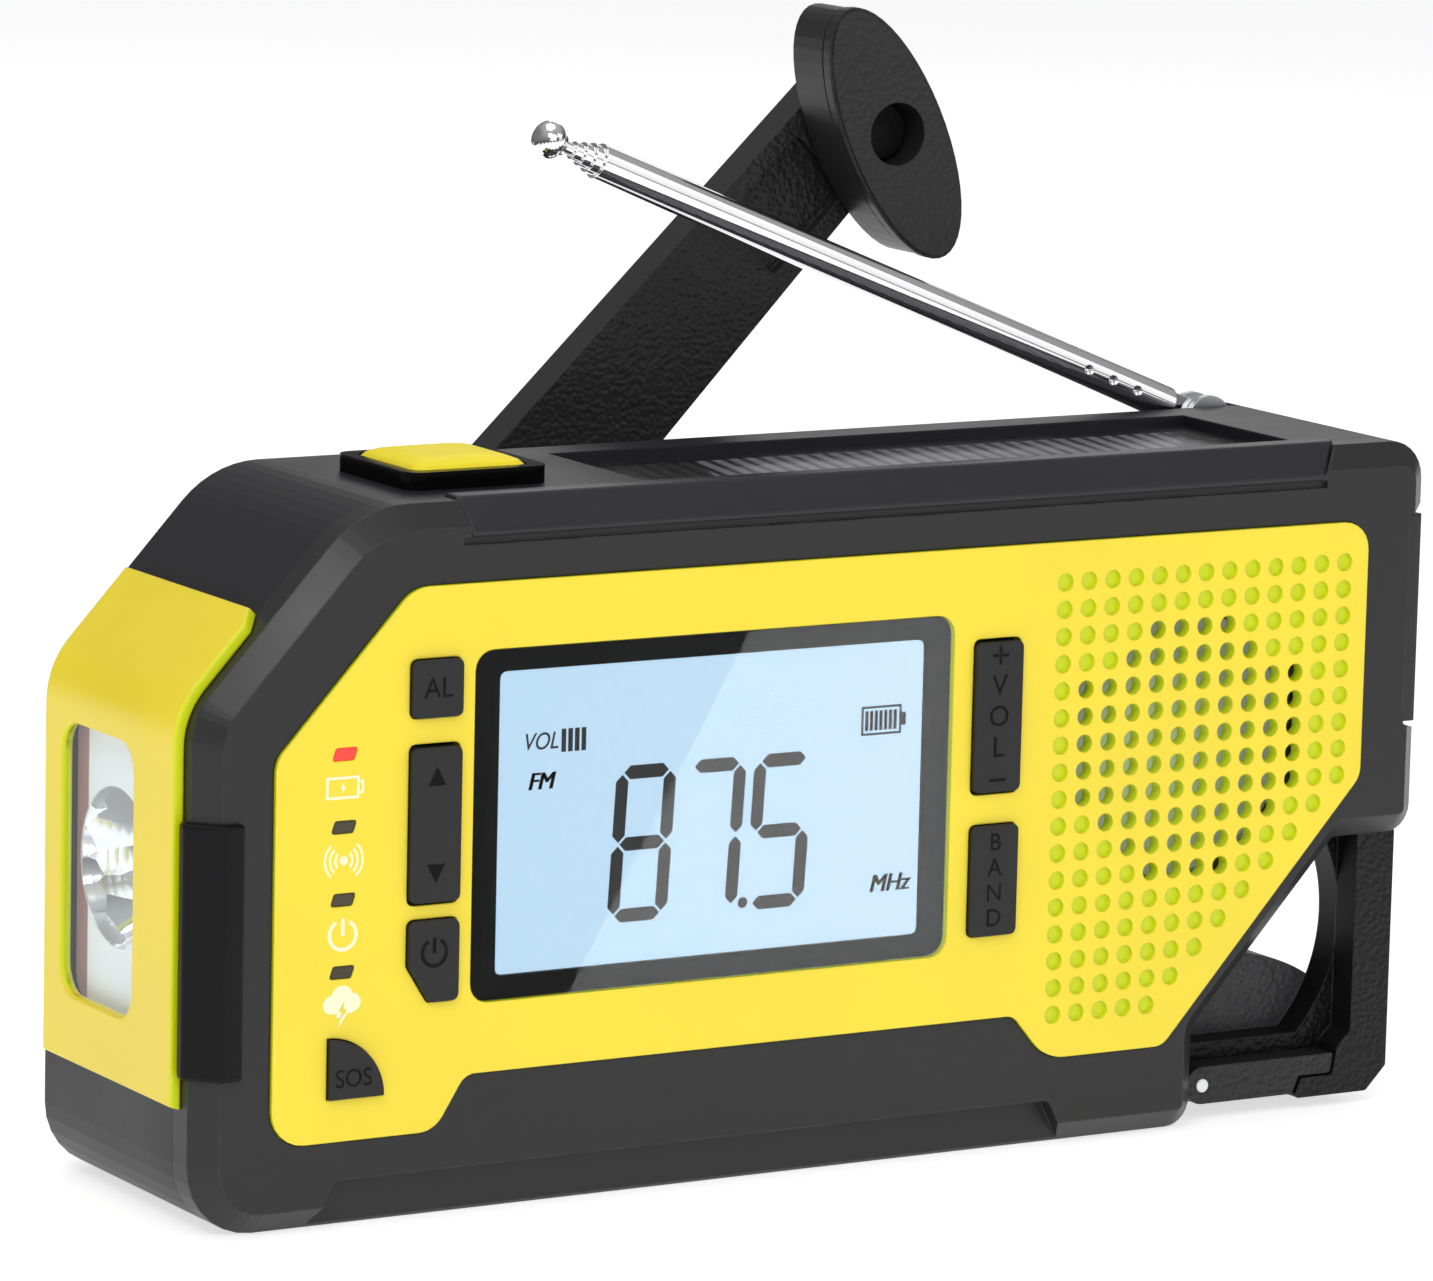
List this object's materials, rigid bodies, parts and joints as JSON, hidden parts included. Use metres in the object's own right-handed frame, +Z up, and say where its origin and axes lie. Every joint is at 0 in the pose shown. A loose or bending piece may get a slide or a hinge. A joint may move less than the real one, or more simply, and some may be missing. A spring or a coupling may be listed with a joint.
{
  "type": "hand-crank emergency radio",
  "caption": "Portable emergency radio with a folding crank, solar panel, telescopic antenna, end torch, lit display, speaker and a spring-gated hook at one corner.",
  "frame": {"origin": "centre of the case's base, on the plane it stands on", "axes": "+X to the right along the front, from the torch end to the hook end; +Y from the front face to the back; +Z up"},
  "size_m": [0.1634, 0.0594, 0.1289],
  "materials": {
    "bezel_plastic": "fine grained",
    "shell_plastic": "fine grained",
    "yellow_plastic": "smooth, satin",
    "grained_plastic": "coarse leather grain",
    "key_rubber": "soft touch",
    "bumper_rubber": "soft touch",
    "clear_plastic": "polished",
    "mask_black": "gloss",
    "lcd": "lit display",
    "reflector": "bright",
    "led_yellow": "clear resin",
    "red_light": "lit",
    "amber_light": "unlit",
    "solar": "ribbed cell",
    "steel": "satin",
    "black_steel": "blackened",
    "cone_paper": "pressed paper",
    "board": "solder mask",
    "cell_wrap": "shrink wrap",
    "ferrite": "sintered",
    "copper": "enamelled wire",
    "white_plastic": "moulded",
    "brass": "turned",
    "chrome": "polished",
    "white_steel": "satin"
  },
  "bodies": {
    "case": {"front_shell": "bezel_plastic", "front_panel": "yellow_plastic", "rear_shell": "shell_plastic", "top_bumper": "bumper_rubber", "grip_pad": "bumper_rubber", "torch_bezel": "yellow_plastic", "torch_lens": "clear_plastic", "torch_reflector": "reflector", "torch_led": "led_yellow", "display_cover": "clear_plastic", "display_mask": "mask_black", "display_panel": "lcd", "charge_light": "red_light", "status_lights": "amber_light", "torch_key_collar": "mask_black", "solar_window": "clear_plastic", "solar_cell": "solar", "speaker_frame": "steel", "speaker_cone": "cone_paper", "speaker_magnet": "steel", "main_board": "board", "battery_cell": "cell_wrap", "battery_tray": "shell_plastic", "ferrite_rod": "ferrite", "ferrite_coil": "copper", "generator": "steel", "idler_axle": "steel", "antenna_bracket": "steel", "antenna_pin": "steel", "hook_frame": "grained_plastic", "hook_pin": "white_steel", "hook_spring": "steel", "charge_port": "steel", "case_screws": "steel"},
    "alarm_key": {"alarm_button": "key_rubber"},
    "tune_key": {"tune_rocker": "key_rubber"},
    "power_key": {"power_button": "key_rubber"},
    "distress_key": {"sos_button": "key_rubber"},
    "volume_key": {"volume_rocker": "key_rubber"},
    "band_key": {"band_button": "key_rubber"},
    "torch_switch": {"torch_key": "yellow_plastic"},
    "crank_boss": {"crank_hub": "grained_plastic", "crank_gear": "white_plastic", "crank_pin": "steel"},
    "crank_lever": {"crank_arm": "grained_plastic", "crank_screw": "black_steel"},
    "crank_handle": {"crank_knob": "grained_plastic"},
    "idler": {"idler_gear": "white_plastic"},
    "pinion": {"generator_pinion": "brass"},
    "antenna_1": {"antenna_tube_1": "chrome"},
    "antenna_2": {"antenna_tube_2": "chrome"},
    "antenna_3": {"antenna_tube_3": "chrome"},
    "antenna_4": {"antenna_tube_4": "chrome"},
    "antenna_5": {"antenna_rod": "chrome"},
    "gate": {"hook_gate": "grained_plastic"},
    "port_flap": {"port_cover": "bumper_rubber"}
  },
  "joints": [
    {"name": "alarm_key_press", "type": "slide", "parent": "case", "child": "alarm_key", "axis": [0, 1, 0], "range_m": [0, 0.0008], "stiffness_N_per_m": 1500, "springref_m": -0.0002},
    {"name": "power_key_press", "type": "slide", "parent": "case", "child": "power_key", "axis": [0, 1, 0], "range_m": [0, 0.0008], "stiffness_N_per_m": 1500, "springref_m": -0.0002},
    {"name": "distress_key_press", "type": "slide", "parent": "case", "child": "distress_key", "axis": [0, 1, 0], "range_m": [0, 0.0008], "stiffness_N_per_m": 1500, "springref_m": -0.0002},
    {"name": "band_key_press", "type": "slide", "parent": "case", "child": "band_key", "axis": [0, 1, 0], "range_m": [0, 0.0008], "stiffness_N_per_m": 1500, "springref_m": -0.0002},
    {"name": "tune_key_tip", "type": "hinge", "parent": "case", "child": "tune_key", "pos_m": [-0.0527, -0.01675, 0.0447], "axis": [1, 0, 0], "range_deg": [-3, 3], "stiffness_Nm_per_rad": 0.12},
    {"name": "volume_key_tip", "type": "hinge", "parent": "case", "child": "volume_key", "pos_m": [0.02025, -0.01675, 0.05155], "axis": [1, 0, 0], "range_deg": [-3, 3], "stiffness_Nm_per_rad": 0.12},
    {"name": "torch_switch_press", "type": "slide", "parent": "case", "child": "torch_switch", "axis": [0, 0, -1], "range_m": [0, 0.0006], "stiffness_N_per_m": 1500, "springref_m": -0.0002},
    {"name": "crank_spin", "type": "hinge", "parent": "case", "child": "crank_boss", "pos_m": [-0.0265, 0, 0.0558], "axis": [0, 1, 0], "continuous": true},
    {"name": "crank_fold", "type": "hinge", "parent": "crank_boss", "child": "crank_lever", "pos_m": [-0.0265, 0.03425, 0.0558], "axis": [-0.7071, 0, 0.7071], "range_deg": [0, 180]},
    {"name": "knob_spin", "type": "hinge", "parent": "crank_lever", "child": "crank_handle", "pos_m": [0.03148, 0.03165, 0.11378], "axis": [0, 1, 0], "continuous": true},
    {"name": "idler_spin", "type": "hinge", "parent": "case", "child": "idler", "pos_m": [-0.00558, 0, 0.0558], "axis": [0, 1, 0], "continuous": true},
    {"name": "pinion_spin", "type": "hinge", "parent": "case", "child": "pinion", "pos_m": [0.01046, 0, 0.04654], "axis": [0, 1, 0], "continuous": true},
    {"name": "antenna_tilt", "type": "hinge", "parent": "case", "child": "antenna_1", "pos_m": [0.073, 0.0172, 0.0782], "axis": [0, 1, 0], "range_deg": [-22, 98]},
    {"name": "antenna_slide_1", "type": "slide", "parent": "antenna_1", "child": "antenna_2", "axis": [-0.9272, 0, 0.3746], "range_m": [0, 0.076]},
    {"name": "antenna_slide_2", "type": "slide", "parent": "antenna_2", "child": "antenna_3", "axis": [-0.9272, 0, 0.3746], "range_m": [0, 0.076]},
    {"name": "antenna_slide_3", "type": "slide", "parent": "antenna_3", "child": "antenna_4", "axis": [-0.9272, 0, 0.3746], "range_m": [0, 0.076]},
    {"name": "antenna_slide_4", "type": "slide", "parent": "antenna_4", "child": "antenna_5", "axis": [-0.9272, 0, 0.3746], "range_m": [0, 0.076]},
    {"name": "gate_swing", "type": "hinge", "parent": "case", "child": "gate", "pos_m": [0.0532, -0.0155, 0.0042], "axis": [0, -1, 0], "range_deg": [0, 35], "stiffness_Nm_per_rad": 0.01, "springref_deg": -22.92},
    {"name": "port_flap_swing", "type": "hinge", "parent": "case", "child": "port_flap", "pos_m": [0.0802, 0.0067, 0.059], "axis": [0, 0, 1], "range_deg": [0, 100]}
  ],
  "couplings": [
    {"joint": "idler_spin", "follows": "crank_spin", "ratio": -3.3333},
    {"joint": "pinion_spin", "follows": "crank_spin", "ratio": 12}
  ]
}
